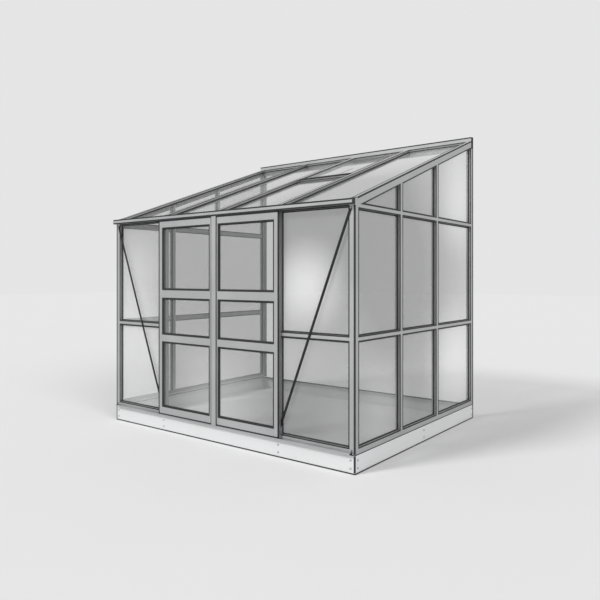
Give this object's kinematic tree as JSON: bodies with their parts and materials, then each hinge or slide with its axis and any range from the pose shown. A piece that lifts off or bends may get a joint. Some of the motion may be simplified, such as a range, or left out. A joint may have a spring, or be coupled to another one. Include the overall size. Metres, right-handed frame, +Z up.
{
  "type": "lean to greenhouse",
  "caption": "Aluminium lean-to greenhouse with a glazed single-pitch roof, two glazed gables, a pair of sliding doors, diagonal braces and a stayed roof vent.",
  "frame": {"origin": "on the ground under the middle of the greenhouse's box", "axes": "+X along the house wall to the right, +Y into the house wall, +Z up"},
  "size_m": [2.538, 2.0722, 2.572],
  "materials": {
    "frame_aluminium": "mill finish extrusion, satin",
    "dark_aluminium": "dark grey paint, satin",
    "base_paint": "pale grey paint, satin",
    "pane_glass": "clear horticultural glass",
    "wheel_nylon": "white nylon"
  },
  "bodies": {
    "root": {"base_front": "base_paint", "base_back": "base_paint", "base_left": "base_paint", "base_right": "base_paint", "sill_front": "frame_aluminium", "sill_left": "frame_aluminium", "sill_right": "frame_aluminium", "corner_post_left": "frame_aluminium", "corner_post_right": "frame_aluminium", "wall_post_left": "frame_aluminium", "wall_post_right": "frame_aluminium", "gable_tie_left": "frame_aluminium", "gable_tie_right": "frame_aluminium", "gable_mid_rail_left": "frame_aluminium", "gable_mid_rail_right": "frame_aluminium", "gable_bar_left_front": "frame_aluminium", "gable_bar_left_back": "frame_aluminium", "gable_bar_right_front": "frame_aluminium", "gable_bar_right_back": "frame_aluminium", "gable_glass_left_front": "pane_glass", "gable_glass_left_middle": "pane_glass", "gable_glass_left_back": "pane_glass", "gable_glass_right_front": "pane_glass", "gable_glass_right_middle": "pane_glass", "gable_glass_right_back": "pane_glass", "door_post_left": "frame_aluminium", "door_post_right": "frame_aluminium", "front_mid_rail_left": "frame_aluminium", "front_mid_rail_right": "frame_aluminium", "brace_left": "dark_aluminium", "brace_right": "dark_aluminium", "front_glass_left": "pane_glass", "front_glass_right": "pane_glass", "eaves_beam": "frame_aluminium", "ridge_beam": "frame_aluminium", "door_track": "frame_aluminium", "door_guide": "frame_aluminium", "gable_rafter_left": "frame_aluminium", "gable_rafter_right": "frame_aluminium", "roof_bar_left": "frame_aluminium", "roof_bar_middle": "frame_aluminium", "roof_bar_right": "frame_aluminium", "roof_glass_1": "pane_glass", "roof_glass_2": "pane_glass", "roof_glass_3": "pane_glass", "roof_glass_4": "pane_glass", "vent_hinge_channel": "frame_aluminium", "vent_sill": "frame_aluminium", "stay_peg": "dark_aluminium"},
    "left_door": {"left_door_frame": "frame_aluminium", "left_door_glass": "pane_glass"},
    "left_door_wheel_outer": {"left_door_wheel_outer": "wheel_nylon"},
    "left_door_wheel_inner": {"left_door_wheel_inner": "wheel_nylon"},
    "right_door": {"right_door_frame": "frame_aluminium", "right_door_glass": "pane_glass"},
    "right_door_wheel_outer": {"right_door_wheel_outer": "wheel_nylon"},
    "right_door_wheel_inner": {"right_door_wheel_inner": "wheel_nylon"},
    "vent": {"vent_frame": "frame_aluminium", "vent_glass": "pane_glass"},
    "vent_stay": {"vent_stay": "frame_aluminium"}
  },
  "joints": [
    {"name": "left_door_slide", "type": "slide", "parent": "root", "child": "left_door", "axis": [-1, 0, 0], "range_m": [0, 0.6]},
    {"name": "left_door_wheel_outer_spin", "type": "hinge", "parent": "left_door", "child": "left_door_wheel_outer", "pos_m": [-0.54, -1.00615, 1.7833], "axis": [0, -1, 0], "range_deg": [0, 3130]},
    {"name": "left_door_wheel_inner_spin", "type": "hinge", "parent": "left_door", "child": "left_door_wheel_inner", "pos_m": [-0.1115, -1.00615, 1.7833], "axis": [0, -1, 0], "range_deg": [0, 3130]},
    {"name": "right_door_slide", "type": "slide", "parent": "root", "child": "right_door", "axis": [1, 0, 0], "range_m": [0, 0.6]},
    {"name": "right_door_wheel_outer_spin", "type": "hinge", "parent": "right_door", "child": "right_door_wheel_outer", "pos_m": [0.54, -1.00615, 1.7833], "axis": [0, 1, 0], "range_deg": [0, 3130]},
    {"name": "right_door_wheel_inner_spin", "type": "hinge", "parent": "right_door", "child": "right_door_wheel_inner", "pos_m": [0.1115, -1.00615, 1.7833], "axis": [0, 1, 0], "range_deg": [0, 3130]},
    {"name": "vent_hinge", "type": "hinge", "parent": "root", "child": "vent", "pos_m": [0.311, 0.9862, 2.52448], "axis": [-1, 0, 0], "range_deg": [0, 25]},
    {"name": "vent_stay_pivot", "type": "hinge", "parent": "vent", "child": "vent_stay", "pos_m": [0.311, 0.08983, 2.17162], "axis": [-1, 0, 0], "range_deg": [0, 78]}
  ],
  "couplings": [
    {"joint": "left_door_wheel_outer_spin", "follows": "left_door_slide", "rad_per_m": 90.909},
    {"joint": "left_door_wheel_inner_spin", "follows": "left_door_slide", "rad_per_m": 90.909},
    {"joint": "right_door_wheel_outer_spin", "follows": "right_door_slide", "rad_per_m": 90.909},
    {"joint": "right_door_wheel_inner_spin", "follows": "right_door_slide", "rad_per_m": 90.909},
    {"joint": "vent_stay_pivot", "follows": "vent_hinge", "ratio": 3.08}
  ]
}
